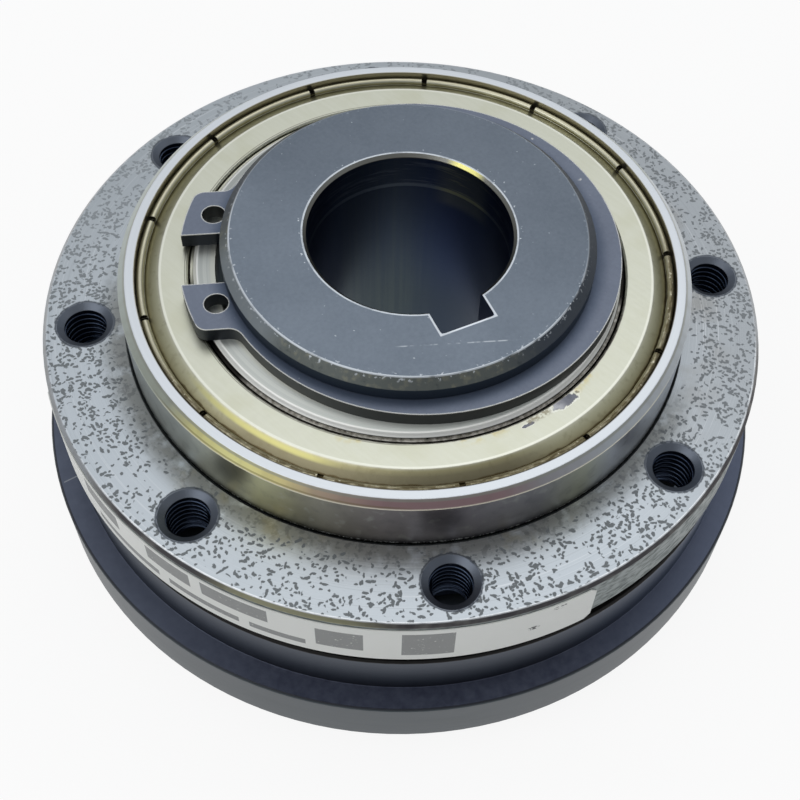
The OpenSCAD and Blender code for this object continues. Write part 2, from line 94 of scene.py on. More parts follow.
# %% [markdown]
# ## Shader arithmetic
# A finish on a turned part is easiest to say in the turner's own terms: the radius, the height and
# the angle round the axis. The small class below wraps a shader socket, so that masks such as
# "near this radius" can be written as plain expressions. A second class holds a node tree, and
# one method of it makes every other kind of node. A third, built on it, holds a material.

# %% Wrap a socket so that it can be calculated with


class Field:
    """A number or colour that changes over a surface. Arithmetic on it adds Math nodes."""

    def __init__(self, finish, socket):
        self.finish = finish
        self.socket = socket

    def __add__(self, other):
        return self.finish.math("ADD", self, other)

    def __sub__(self, other):
        return self.finish.math("SUBTRACT", self, other)

    def __rsub__(self, other):
        return self.finish.math("SUBTRACT", other, self)

    def __mul__(self, other):
        return self.finish.math("MULTIPLY", self, other)

    def __truediv__(self, other):
        return self.finish.math("DIVIDE", self, other)

    __radd__ = __add__
    __rmul__ = __mul__

    def size(self):
        """The value without its sign."""
        return self.finish.math("ABSOLUTE", self)

    def most(self, other):
        """The larger of two values."""
        return self.finish.math("MAXIMUM", self, other)

    def least(self, other):
        """The smaller of two values."""
        return self.finish.math("MINIMUM", self, other)

    def step(self, low, high):
        """Rises smoothly from 0 to 1 between low and high, or falls where low is the larger."""
        return self.finish.node(
            "ShaderNodeMapRange",
            {"interpolation_type": "SMOOTHSTEP"},
            {"Value": self, "From Min": low, "From Max": high},
        )

    def near(self, centre, reach, soft):
        """1 within reach of a centre, and 0 from reach + soft on."""
        return (self - centre).size().step(reach + soft, reach)

    def between(self, low, high, soft):
        """1 from low to high, with soft ends outside of them."""
        return self.near((low + high) / 2, (high - low) / 2, soft)

# %% One class for a node tree, and one for a material


def linear(red, green, blue):
    """The linear colour of three values from 0 to 255, as a paint chart gives them."""
    parts = []
    for value in (red, green, blue):
        share = value / 255
        parts.append(share / 12.92 if share <= 0.04045 else ((share + 0.055) / 1.055) ** 2.4)
    return (*parts, 1)


class Tree:
    """A node tree, such as the world's, with short ways to add to it."""

    def __init__(self, tree):
        self.tree = tree
        self.tree.nodes.clear()

    def node(self, kind, settings=None, inputs=None, output=0):
        """Adds a node, sets it up, feeds its sockets, and gives back one output or several."""
        made = self.tree.nodes.new(kind)
        for key, value in (settings or {}).items():
            if key == "stops":
                self.fill_ramp(made.color_ramp, value)
            else:
                setattr(made, key, value)
        for key, value in (inputs or {}).items():
            self.feed(made.inputs[key], value)
        if output is None:
            return made
        if isinstance(output, tuple):
            return [Field(self, made.outputs[key]) for key in output]
        return Field(self, made.outputs[output])

    def fill_ramp(self, ramp, stops):
        """Sets a ramp's stops from a list of (place, colour)."""
        while len(ramp.elements) < len(stops):
            ramp.elements.new(1)
        for element, (place, colour) in zip(ramp.elements, stops):
            element.position = place
            element.color = colour

    def feed(self, socket, value):
        """Links a Field to a socket, or sets the socket to a plain value."""
        if isinstance(value, Field):
            self.tree.links.new(value.socket, socket)
        else:
            socket.default_value = value

    def math(self, operation, *values):
        """A Math node on one value or several."""
        return self.node("ShaderNodeMath", {"operation": operation}, dict(enumerate(values)))

    def mix(self, mask, first, second):
        """The first colour where the mask is 0, and the second where it is 1."""
        return self.node(
            "ShaderNodeMix", {"data_type": "RGBA"}, {0: mask, 6: first, 7: second}, 2
        )

    def layers(self, base, *coats):
        """A base colour with coats over it, each a pair of mask and colour."""
        for mask, colour in coats:
            base = self.mix(mask, base, colour)
        return base

    def tones(self, value, *stops):
        """A colour ramp over a value."""
        return self.node("ShaderNodeValToRGB", {"stops": stops}, {0: value})


class Finish(Tree):
    """A procedural material on Object coordinates, measured in millimetres."""

    def __init__(self, name, metallic=0.0):
        self.material = bpy.data.materials.new(name)
        self.material.use_nodes = True
        super().__init__(self.material.node_tree)
        self.shader = self.tree.nodes.new("ShaderNodeBsdfPrincipled")
        output = self.tree.nodes.new("ShaderNodeOutputMaterial")
        self.tree.links.new(self.shader.outputs[0], output.inputs["Surface"])
        self.shader.inputs["Metallic"].default_value = metallic
        metres = self.node("ShaderNodeTexCoord", output="Object")
        self.place = self.node(
            "ShaderNodeVectorMath", {"operation": "SCALE"}, {0: metres, "Scale": 1 / MM}
        )
        self.x, self.y, self.z = self.node(
            "ShaderNodeSeparateXYZ", None, {0: self.place}, ("X", "Y", "Z")
        )
        self.radius = self.math("SQRT", self.x * self.x + self.y * self.y)
        turn = self.math("ARCTAN2", self.y, self.x) * math.degrees(1)
        self.angle = self.math("WRAP", turn, 360, 0)

    def noise(self, size, detail=2.0, place=None, seed=0.0):
        """Soft noise from 0 to 1 whose grains are about size millimetres wide."""
        return self.node(
            "ShaderNodeTexNoise",
            {"noise_dimensions": "4D"},
            {"Vector": place or self.place, "W": seed, "Scale": 1 / size, "Detail": detail},
        )

    def vector(self, x, y, z):
        """A vector from three values."""
        return self.node("ShaderNodeCombineXYZ", None, {0: x, 1: y, 2: z})

    def turning(self, across, along):
        """Noise drawn out round the axis, as a lathe or a grinding wheel leaves it."""
        way = self.vector(
            self.x / self.radius * (20 / along),
            self.y / self.radius * (20 / along),
            self.radius / across,
        )
        return self.node(
            "ShaderNodeTexNoise",
            {"noise_dimensions": "4D"},
            {"Vector": way, "W": self.z / across, "Scale": 1, "Detail": 3},
        )

    def from_nearest(self, count, phase):
        """Degrees from the nearest of count places round the axis, the first one at phase."""
        half = 180 / count
        return self.math("WRAP", self.angle - phase, half, -half)

    def rounding(self, width):
        """The surface normal with its sharp edges rounded by width millimetres."""
        return self.node("ShaderNodeBevel", {"samples": 6}, {"Radius": width * MM}, "Normal")

    def edges(self, width):
        """1 along the sharp edges, and 0 on open surface."""
        true_normal = self.node("ShaderNodeNewGeometry", output="Normal")
        facing = self.node(
            "ShaderNodeVectorMath",
            {"operation": "DOT_PRODUCT"},
            {0: self.rounding(width), 1: true_normal},
            "Value",
        )
        return facing.step(0.995, 0.9)

    def relief(self, height, depth, rounding):
        """Bump from a height field, depth in millimetres, over rounded edges."""
        return self.node(
            "ShaderNodeBump",
            None,
            {"Height": height, "Distance": depth * MM, "Normal": self.rounding(rounding)},
        )

    def paint(self, colour, roughness, normal=None):
        """Connects what was worked out to the shader, and gives back the material."""
        self.feed(self.shader.inputs["Base Color"], colour)
        self.feed(self.shader.inputs["Roughness"], roughness)
        if normal:
            self.feed(self.shader.inputs["Normal"], normal)
        return self.material


def wear(node, material):
    """Gives a frame node its finish."""
    slots = nodes[node].data.materials
    slots.clear()
    slots.append(material)
    print("finish", material.name, "on", node)

# %% [markdown]
# ## Floor and light
# A catalogue picture is lit by large soft sources, so that metal shows broad, quiet reflections.
# The world gives most of the light, darker towards the horizon than overhead, because a dark steel
# side needs something darker to reflect. Two wide lamps add a direction. The floor keeps a faint
# shadow, and shows white to the camera and to the metal.

# %% Lay the floor
floor_shadow = 0.1
bpy.ops.object.select_all(action="DESELECT")
bpy.ops.mesh.primitive_plane_add(size=3)
floor = bpy.context.object
floor.name = "floor"
floor_paper = Finish("floor_paper")
floor_paper.paint(linear(240, 240, 240), 0.8)
rays = floor_paper.node(
    "ShaderNodeLightPath",
    output=("Is Camera Ray", "Is Glossy Ray", "Is Transmission Ray"),
)
seen = (rays[0] + rays[1] + rays[2]).least(1) * (1 - floor_shadow)
white = floor_paper.node("ShaderNodeEmission", None, {"Color": linear(255, 255, 255)})
paper = Field(floor_paper, floor_paper.shader.outputs[0])
blend = floor_paper.node("ShaderNodeMixShader", None, {0: seen, 1: paper, 2: white})
floor_paper.feed(floor_paper.tree.nodes["Material Output"].inputs["Surface"], blend)
floor.data.materials.append(floor_paper.material)
print("floor:", floor.dimensions.x, "m wide")

# %% Light the room
world = bpy.data.worlds.new("studio")
bpy.context.scene.world = world
world.use_nodes = True
room = Tree(world.node_tree)
direction = room.node("ShaderNodeTexCoord", output="Generated")
side, depth, height = room.node("ShaderNodeSeparateXYZ", None, {0: direction}, ("X", "Y", "Z"))
room_height = room.tones(
    height,
    (0.0, linear(150, 151, 153)),
    (0.45, linear(182, 185, 188)),
    (0.66, linear(192, 195, 199)),
    (0.76, linear(216, 219, 224)),
    (0.9, linear(252, 254, 255)),
)
stand = camera_place.normalized()
towards = side * stand.x + depth * stand.y + height * stand.z
right = side * math.cos(camera_turn) + depth * math.sin(camera_turn)
shade = (1 - towards.step(0.55, 0.97) * 0.45) * (1 - right.step(0.1, 0.8) * 0.05)
background = room.node("ShaderNodeBackground", None, {"Color": room_height, "Strength": shade})
room.node("ShaderNodeOutputWorld", None, {"Surface": background}, None)
print("room: darker behind the camera and to its right")

# %% Hang the lamps


def lamp(name, place, size, power):
    """A square soft lamp that looks at the part."""
    bpy.ops.object.light_add(type="AREA", location=place)
    light = bpy.context.object
    light.name = name
    light.data.size = size
    light.data.energy = power
    light.rotation_euler = (-Vector(place)).to_track_quat("-Z", "Y").to_euler()
    print("lamp", name, power, "W")


lamp("key_lamp", (-0.55, -0.1, 0.75), 0.6, 1.6)
lamp("back_lamp", (0.3, 0.4, 0.85), 0.6, 0.6)

# %% [markdown]
# ## Phosphated hub
# The hub is turned steel with a dark grey phosphate skin. Handling has rubbed the skin off every
# sharp edge, which leaves a bright, nicked line round the nose, the bore and the keyway. The masks
# for these lines follow the drawing: the radius of the chamfer and the outline of the keyway. Light
# and
# shade are painted in as well: the top and the nose are lighter towards the left, where the rubbed
# edges also show strongest, the neck under the nose's chamfer is painted dark, and the bore's far
# wall is a little lighter than its sides. A painted yellow glint, where a little oil in the bore
# mirrors the light, shows in one direction, which is named glint_turn.

# %% Measure the hub
hub_top = reach("hub")[1]
ring_top = reach("retaining_ring")[1]
hub_r = 20.0
nose_chamfer = 1.0
bore = frame["record"]["mounts"][0]["dims"]["r_mm"]
bore_rim = bore + 0.35
bore_mark_z = 35.4
key_half = 3.0
key_floor = 13.8
glint_turn = 31
print("hub top at", round(hub_top, 2), "mm, bore radius", bore, "mm")

# %% Mask the hub's rubbed places


def hub_rubbed(hub, top, nose, slot):
    """Where the skin is rubbed off: the sharp edges, nicks beside them, spots and one hairline."""
    # Rubbing is real wear; that it shows stronger from 160 to 300 degrees, on the lit side, is
    # painted light.
    strong = hub.angle.between(160, 300, 30) * 0.75 + 0.25
    line_wear = hub.noise(2.5, 2, seed=9).step(0.28, 0.48) * strong
    nose_line = hub.radius.near(hub_r - nose_chamfer, 0.05, 0.08) * line_wear
    nicks = hub.noise(0.36, 3, seed=5).step(0.58, 0.66) * strong * 0.8
    nicks = nicks * hub.radius.near(hub_r - nose_chamfer, 0.2, 0.35)
    bore_line = hub.radius.near(bore_rim + 0.05, 0.09, 0.07) * (1 - slot)
    bore_line = bore_line * (hub.noise(1.4, 3, seed=14).step(0.3, 0.55) * 0.5 + 0.5)
    outline = (hub.x.size() - key_half).most(hub.y * -1 - key_floor)
    key_line = outline.between(0, 0.18, 0.08) * hub.y.step(-bore + 0.6, -bore + 0.3) * top
    rubbed = (nose_line.most(nicks) * (top + nose).least(1)).most(bore_line * top).most(key_line)
    spots = hub.noise(0.5, 1, seed=12).step(0.72, 0.78) * top * 0.6
    burrs = hub.noise(0.4, 2, seed=16).step(0.64, 0.7)
    burrs = burrs * hub.radius.between(bore_rim, bore_rim + 0.5, 0.3) * top
    hairline = (hub.x * 0.34 + hub.y * 0.94 + 15.2).near(0, 0.04, 0.06) * hub.x.between(-7, 3, 1)
    hairline = hairline * hub.noise(0.9, 2, seed=18).step(0.4, 0.6) * top
    return rubbed.most(spots).most(burrs).most(hairline * 0.6).least(1)

# %% Mask the marks in the bore


def bore_marks(hub, inside):
    """Hoops that the boring tool left near the top, and the painted glint of the oil that shines
    between them.
    """
    hoops = hub.noise(0.3, 3, hub.vector(hub.angle * 0.015, 0, hub.z), 26).step(0.5, 0.66)
    hoops = hoops * hub.z.between(bore_mark_z, bore_mark_z + 3.6, 0.2) * 0.6
    hoops = hub.z.near(bore_mark_z, 0.15, 0.2).most(hoops) * inside
    # A painted yellow glint, where oil in the bore mirrors the light towards glint_turn.
    oil = hub.angle.near(glint_turn, 8, 14) * hub.z.between(34.0, 38.8, 1.5) * inside
    return hoops, oil * (0.2 + hoops * 0.6)

# %% Finish the hub


def phosphate(finish, tone, spread=6):
    """Mottled phosphate skin around one tone."""
    cloud = finish.noise(9, 3) * 0.6 + finish.noise(0.35, 4, seed=3) * 0.4
    dark = linear(*(value - spread for value in tone))
    light = linear(*(value + spread for value in tone))
    return finish.tones(cloud, (0.35, dark), (0.65, light))


def hub_finish():
    hub = Finish("phosphated_hub", metallic=1.0)
    top = hub.z.step(hub_top - 0.02, hub_top - 0.005)
    lit = (hub.x * -1 - hub.y * 0.8).step(-14, 16) * top
    inside = hub.radius.step(bore_rim + 0.02, bore_rim)
    slot = hub.y.step(-bore + 2, -bore) * hub.x.size().step(key_half + 0.05, key_half)
    hollow = inside.most(slot * hub.radius.step(key_floor + 0.3, key_floor + 0.2))
    deep = hollow * hub.z.step(31, 14)
    middle = hub.angle.near(88, 12, 38)
    upright = hub.noise(1.0, 3, hub.vector(hub.angle * 0.25, hub.z * 0.03, 0), 24)
    hoops, oil = bore_marks(hub, inside)
    bevel = hub.radius.between(bore, bore_rim, 0.03) * (1 - top) * (1 - slot)
    bevel = bevel * hub.z.step(hub_top - 0.5, hub_top - 0.4)
    nose = hub.z.step(hub_top - 6, hub_top - 5) * (1 - top) * (1 - hollow)
    neck = nose * hub.z.step(hub_top - nose_chamfer + 0.05, hub_top - nose_chamfer - 0.05)
    left = hub.angle.between(165, 265, 25)
    scuffs = hub.noise(0.9, 4, seed=28)
    colour = hub.layers(
        phosphate(hub, (115, 124, 135)),
        (lit * 0.7, phosphate(hub, (127, 137, 149))),
        # Painted light on the nose: lighter on its left, where the light falls, than on its right.
        (nose, hub.mix(left, linear(78, 84, 92), linear(108, 113, 110))),
        # Scuffs are wear, painted light only on the lit left.
        (nose * scuffs.step(0.5, 0.68) * left * 0.6, linear(146, 145, 128)),
        (nose * scuffs.step(0.42, 0.3) * 0.4, linear(66, 72, 78)),
        # A painted highlight on the nose near 182 degrees.
        (nose * hub.angle.near(182, 12, 14) * 0.8, linear(146, 154, 160)),
        # Painted shade on the neck, the hub's side between the nose's chamfer and the retaining ring.
        (neck, linear(70, 80, 91)),
        # Painted light in the bore: the far wall, middle, is greyer and a little lighter than the
        # navy sides, and lower down the wall turns greyer.
        (hollow, hub.mix(middle, linear(50, 66, 102), linear(62, 74, 92))),
        (deep * 0.85, hub.mix(middle, linear(46, 56, 66), linear(58, 68, 72))),
        (hollow * middle * upright.step(0.35, 0.8) * 0.3, linear(84, 94, 90)),
        (hoops * 0.45, linear(150, 160, 168)),
        # The painted yellow glint of oil in the bore, towards glint_turn.
        (oil, linear(190, 188, 140)),
        (bevel, linear(132, 132, 126)),
        # The same painted glint on the bore's chamfer.
        (bevel * hub.angle.near(glint_turn, 5, 9), linear(226, 220, 140)),
        (hub_rubbed(hub, top, nose, slot), linear(214, 220, 226)),
    )
    rough = 0.42 + hub.noise(0.5, 3, seed=2) * 0.12 - hollow * 0.15
    grain = hub.noise(0.18, 3, seed=4) + hub.turning(0.2, 12) * 0.6
    return hub.paint(colour, rough, hub.relief(grain, 0.006, 0.08))


wear("hub", hub_finish())

# %% [markdown]
# ## Retaining ring
# The ring is punched from spring steel and phosphated blue-grey. Its faces are smooth, its punched
# sides are almost black, and the outer edge has a bright line. Here the line is found by comparing
# the true normal with one that the Bevel node rounds, because the lugs have no simple formula.
# The walls of the gap between the lugs lie in deep shade, so they are darker than the others.

# %% Finish the retaining ring
lug_start, lug_end = 152, 186


def ring_finish():
    ring = Finish("phosphated_spring_steel", metallic=0.6)
    face = ring.z.step(ring_top - 0.06, ring_top - 0.02)
    upper = ring.z.step(ring_top - 0.3, ring_top - 0.1)
    rubbed = ring.edges(0.25) * ring.noise(1.8, 2).step(0.22, 0.42) * upper
    spots = ring.noise(0.7, 1, seed=6).step(0.75, 0.8) * face * 0.5
    shaded = ring.radius.step(hub_r + 1.9, hub_r + 0.2) * face
    colour = ring.layers(
        linear(60, 62, 61),
        (ring.angle.between(lug_start, lug_end, 5), linear(34, 40, 48)),
        (face, phosphate(ring, (116, 124, 140))),
        (shaded * 0.65, linear(62, 77, 100)),
        (rubbed.most(spots), linear(236, 236, 230)),
    )
    rough = 0.38 + ring.noise(0.6, 3, seed=2) * 0.12
    grain = ring.noise(0.22, 3, seed=4)
    return ring.paint(colour, rough, ring.relief(grain, 0.004, 0.04))


wear("retaining_ring", ring_finish())

# %% [markdown]
# ## Ground flange
# The flange's face was ground bright, but phosphate crystals stayed in the pores of the steel, and
# lie there as short dark dashes in every direction. A cell texture scatters one small ellipse to
# a cell, and the cell's own random colour turns it. Three sizes are laid over each other, and
# soft noise makes them crowd in some places and thin out in others. Oil and a little rust have
# gathered at the bearing's foot. The threaded holes' countersinks are dark, with a ragged fringe.

# %% Scatter crystals
crystal_sizes = (
    {"seed": 1, "cell": 0.8, "length": 0.27, "width": 0.14, "share": 0.85},
    {"seed": 2, "cell": 1.05, "length": 0.37, "width": 0.16, "share": 0.75},
    {"seed": 3, "cell": 0.5, "length": 0.17, "width": 0.12, "share": 0.6},
)


def dashes(finish, place, seed, cell, length, width):
    """Short dashes, one to a cell, each turned its own way, and a random value for each."""
    shifted = finish.node(
        "ShaderNodeVectorMath", {"operation": "ADD"}, {0: place, 1: (seed, seed * 1.7, 0)}
    )
    middle, draw = finish.node(
        "ShaderNodeTexVoronoi",
        {"voronoi_dimensions": "2D"},
        {"Vector": shifted, "Scale": 1 / cell, "Randomness": 0.9},
        ("Position", "Color"),
    )
    offset = finish.node(
        "ShaderNodeVectorMath", {"operation": "SUBTRACT"}, {0: shifted, 1: middle}
    )
    u, v = finish.node("ShaderNodeSeparateXYZ", None, {0: offset}, ("X", "Y"))
    spin, chance = finish.node("ShaderNodeSeparateColor", None, {0: draw}, ("Red", "Green"))
    cosine = finish.math("COSINE", spin * math.tau)
    sine = finish.math("SINE", spin * math.tau)
    along = (u * cosine + v * sine) / length
    aside = (v * cosine - u * sine) / width
    ragged = finish.noise(0.2, 2, place, seed) * 1.1 + 0.45
    body = finish.math("SQRT", along * along + aside * aside)
    return body.step(ragged + 0.22, ragged - 0.12), chance


def crystals(finish, place, crowd):
    """Dashes of three sizes that crowd where the crowd mask is high."""
    clumps = finish.noise(1.9, 2, place, 17).step(0.36, 0.6)
    crowd = crowd * (clumps * 0.85 + 0.15)
    mask = None
    for kind in crystal_sizes:
        dash, chance = dashes(
            finish, place, kind["seed"], kind["cell"], kind["length"], kind["width"]
        )
        kept = dash * (crowd * kind["share"] - chance).step(-0.02, 0.02)
        mask = kept if mask is None else mask.most(kept)
    return mask

# %% Measure the flange
flange_r = reach("output_flange")[0]
flange_top = frame["record"]["mounts"][3]["pos_m"][2] / MM
rim_low = 21.7
bearing_r, bearing_top = reach("bearing_outer_ring")
screws = frame["record"]["mounts"][1]["dims"]
screw_circle = screws["pcd_mm"] / 2
screw_count = screws["count"]
screw_r = screws["hole_r_mm"]
screw_sink_r = screw_r + 0.75
screw_phase = 26.9
print("flange radius", round(flange_r, 2), "face at", round(flange_top, 2))

# %% Mask the flange's crystals and dirt


def screw_distance(finish):
    """Distance from the middle of the nearest threaded hole, seen from above."""
    local = finish.from_nearest(screw_count, screw_phase) * math.radians(1)
    u = finish.radius * finish.math("COSINE", local) - screw_circle
    v = finish.radius * finish.math("SINE", local)
    return finish.math("SQRT", u * u + v * v)


def flange_crystals(flange, hole, right, far):
    """Crystals that leave out the bearing's foot, crowd at the holes, and fade far away."""
    drift = flange.noise(0.5, 1, seed=15) - 0.5
    flat = flange.vector(flange.x + drift * 0.4, flange.y - drift * 0.3, 0)
    crowd = flange.noise(5.5, 2, seed=31).step(0.3, 0.62) * 0.7 + 0.3 + right * 0.25
    crowd = crowd + flange.angle.between(125, 178, 15) * 0.35
    crowd = crowd * flange.radius.step(bearing_r + 0.5, bearing_r + 3.5)
    crowd = crowd + hole.step(screw_sink_r + 1.6, screw_sink_r + 0.2) * 0.3
    return crystals(flange, flat, crowd) * (1 - far * 0.45) * (1 - right * 0.25)


def flange_dirt(flange, face):
    """Oil, the darker blots in it, and rust, all gathered at the bearing's foot."""
    foot = flange.radius.step(bearing_r + 4.0, bearing_r + 1.0) * face
    smear = flange.noise(1.6, 4, seed=41).step(0.2, 0.5)
    oil = foot * flange.angle.between(160, 300, 18) * smear
    blots = oil * flange.noise(0.55, 3, seed=49).step(0.5, 0.62)
    rusted = flange.angle.between(200, 226, 8).most(flange.angle.between(262, 276, 6))
    rust = foot * flange.noise(2.4, 3, seed=43).step(0.5, 0.7) * rusted
    return oil, blots, rust

# %% Finish the flange


def flange_finish():
    flange = Finish("ground_flange", metallic=1.0)
    face = flange.z.step(flange_top - 0.05, flange_top - 0.02)
    below = flange.z.step(rim_low + 0.1, rim_low)
    side = (1 - face) * (1 - below) * flange.radius.step(flange_r - 0.6, flange_r - 0.45)
    chamfer = side * flange.z.step(flange_top - 0.45, flange_top - 0.4)
    hole = screw_distance(flange)
    sink = hole.step(screw_sink_r + 0.06, screw_sink_r) * (1 - side)
    wall = sink * flange.z.step(flange_top - 0.42, flange_top - 0.5)
    ragged = flange.noise(0.5, 3, seed=21) * 0.5 - 0.2
    fringe = hole.step(screw_sink_r + 0.25 + ragged, screw_sink_r + 0.1 + ragged)
    fringe = fringe * face * (1 - sink)
    right = flange.x.step(6, 34)
    far = flange.y.step(6, 34)
    specks = flange_crystals(flange, hole, right, far) * face
    oil, blots, rust = flange_dirt(flange, face)
    stain = right * flange.noise(4, 4, seed=45).step(0.42, 0.66) * flange.radius.step(39, 33) * face
    # Painted shade in the join between the face and the bearing's foot.
    foot_shade_line = flange.radius.step(bearing_r + 0.1, bearing_r + 0.02) * face
    beads = flange.radius.near(bearing_r + 0.08, 0.07, 0.05) * flange.noise(0.28, 1, seed=47)
    near_side = flange.angle.between(198, 322, 8)
    # A painted highlight along the edge of the face, strongest on the near side, broken up by noise.
    bright_line = flange.radius.near(flange_r - 0.42, 0.06, 0.06) * (near_side * 0.7 + 0.3)
    bright_line = bright_line * flange.noise(2, 2, seed=63).step(0.25, 0.55)
    rolled = flange.vector(flange.angle * (math.radians(0.4) * flange_r), flange.z, 0)
    mottles = flange.noise(0.45, 4, rolled, 33).step(0.4, 0.68) * side * (1 - chamfer)
    worn = flange.noise(1.1, 4, rolled, 61).step(0.45, 0.65)
    # Where the chamfer gets a painted yellow reflection.
    warm = flange.angle.near(229, 6, 10)
    hairs = flange.turning(0.12, 14)
    colour = flange.layers(
        flange.mix(flange.noise(14, 2, seed=51), linear(184, 192, 199), linear(197, 203, 208)),
        # Painted shade: the face is darker towards the right and towards the back.
        (right * 0.7, linear(160, 164, 167)),
        (far * 0.4, linear(150, 155, 158)),
        (hairs.step(0.56, 0.74) * 0.45, linear(226, 229, 232)),
        (hairs.step(0.44, 0.28) * 0.3, linear(140, 144, 148)),
        (stain * 0.45, linear(134, 128, 118)),
        (side, linear(122, 130, 130)),
        (oil * 0.75, linear(124, 124, 118)),
        (blots * 0.5, linear(98, 101, 104)),
        (rust * 0.4, linear(156, 148, 116)),
        # The crystals are painted a little darker on the right, as shade.
        (specks, flange.mix(right, linear(132, 137, 140), linear(126, 130, 133))),
        (mottles * 0.85, linear(90, 97, 97)),
        # Painted light on the chamfer: light on the near side and dark on the far side.
        (chamfer, flange.mix(near_side, linear(172, 176, 180), linear(92, 90, 92))),
        (chamfer * worn * 0.5, linear(150, 148, 144)),
        # A painted yellow reflection on the chamfer, and the face edge's painted highlight.
        (chamfer * warm * 0.7, linear(182, 180, 146)),
        (bright_line, linear(232, 235, 238)),
        (below, linear(58, 56, 58)),
        (sink, linear(98, 104, 114)),
        (wall, linear(60, 70, 92)),
        (fringe, linear(96, 101, 108)),
        (foot_shade_line, linear(60, 64, 60)),
        (beads.step(0.56, 0.64) * face, linear(226, 228, 226)),
    )
    marks = specks.most(mottles)
    rough = 0.34 + marks * 0.25 + oil * 0.1 + hairs * 0.08
    return flange.paint(colour, rough, flange.relief(hairs - marks * 0.6, 0.006, 0.1))


wear("output_flange", flange_finish())

# %% [markdown]
# ## Bearing rings
# Both rings are ground bearing steel: bright faces with hair-fine circular marks. Dust lies on
# the inner ring's ledge, in the gap to the shield. The outer ring's polished side mirrors a room
# in broad bands of colour. What it mirrors isn't modelled, so the bands are laid down as a
# colour ramp over the angle, which looks right from the other sides too.

# %% Finish the inner ring
inner_ring_r = reach("bearing_inner_ring")[0]
step_r = inner_ring_r - 0.3
gap_start, gap_end = 203, 318


def inner_ring_finish():
    ring = Finish("ground_inner_ring", metallic=1.0)
    groove = ring.radius.step(step_r - 0.08, step_r - 0.02)
    dusty = groove * ring.angle.between(gap_start, gap_end, 6)
    ledge = ring.z.step(bearing_top - 0.55, bearing_top - 0.58)
    ledge = ledge * ring.radius.step(inner_ring_r + 0.02, inner_ring_r - 0.04)
    glint = ring.z.between(bearing_top - 0.54, bearing_top - 0.44, 0.04)
    rim = ring.radius.near(hub_r + 0.9, 0.15, 0.5)
    # A painted highlight on the outer brim of the land.
    brim_highlight = ring.radius.between(step_r - 0.5, step_r - 0.12, 0.15)
    dust = ring.noise(0.4, 4, seed=5)
    hairs = ring.turning(0.2, 60)
    colour = ring.layers(
        ring.mix(hairs.step(0.3, 0.7), linear(188, 192, 188), linear(206, 209, 204)),
        (rim * 0.5, linear(222, 222, 206)),
        (brim_highlight, linear(250, 250, 246)),
        # Painted shade: the wall of the groove in the gap to the shield is painted near black, except
        # at the back, from 45 to 158 degrees.
        (groove, linear(34, 32, 30)),
        (groove * ring.angle.between(45, 158, 10), linear(206, 206, 190)),
        (dusty * ledge, ring.mix(dust.step(0.4, 0.65), linear(120, 117, 110), linear(172, 169, 162))),
        (dusty * glint * dust.step(0.3, 0.5), linear(220, 218, 210)),
    )
    rough = 0.34 + hairs * 0.1 + brim_highlight * 0.15
    dished = ring.radius.least(step_r - 0.2) * -45
    return ring.paint(colour, rough, ring.relief(hairs + dished, 0.004, 0.12))


wear("bearing_inner_ring", inner_ring_finish())

# %% List the outer ring's tones
groove_r = 29.2
bevel_z = bearing_top - 0.82
bevel_tones = (
    (165, (182, 190, 186)),
    (194, (180, 186, 172)),
    (202, (232, 226, 160)),
    (212, (255, 250, 176)),
    (220, (240, 228, 160)),
    (228, (196, 176, 152)),
    (240, (172, 142, 144)),
    (262, (166, 140, 143)),
    (270, (166, 164, 168)),
    (286, (190, 196, 202)),
    (330, (204, 210, 214)),
)
side_tones = (
    (165, (196, 202, 202)),
    (200, (176, 179, 170)),
    (209, (184, 184, 162)),
    (217, (200, 196, 152)),
    (226, (150, 145, 126)),
    (240, (146, 138, 136)),
    (254, (150, 144, 148)),
    (270, (156, 154, 157)),
    (279, (196, 198, 176)),
    (287, (212, 217, 226)),
    (330, (198, 204, 208)),
)
print("outer ring:", len(bevel_tones), "tones on the bevel,", len(side_tones), "on the side")


def tones_round(finish, stops):
    """A colour ramp over the angle round the axis, from stops in degrees."""
    return finish.tones(finish.angle / 360, *((turn / 360, linear(*tone)) for turn, tone in stops))

# %% Finish the outer ring


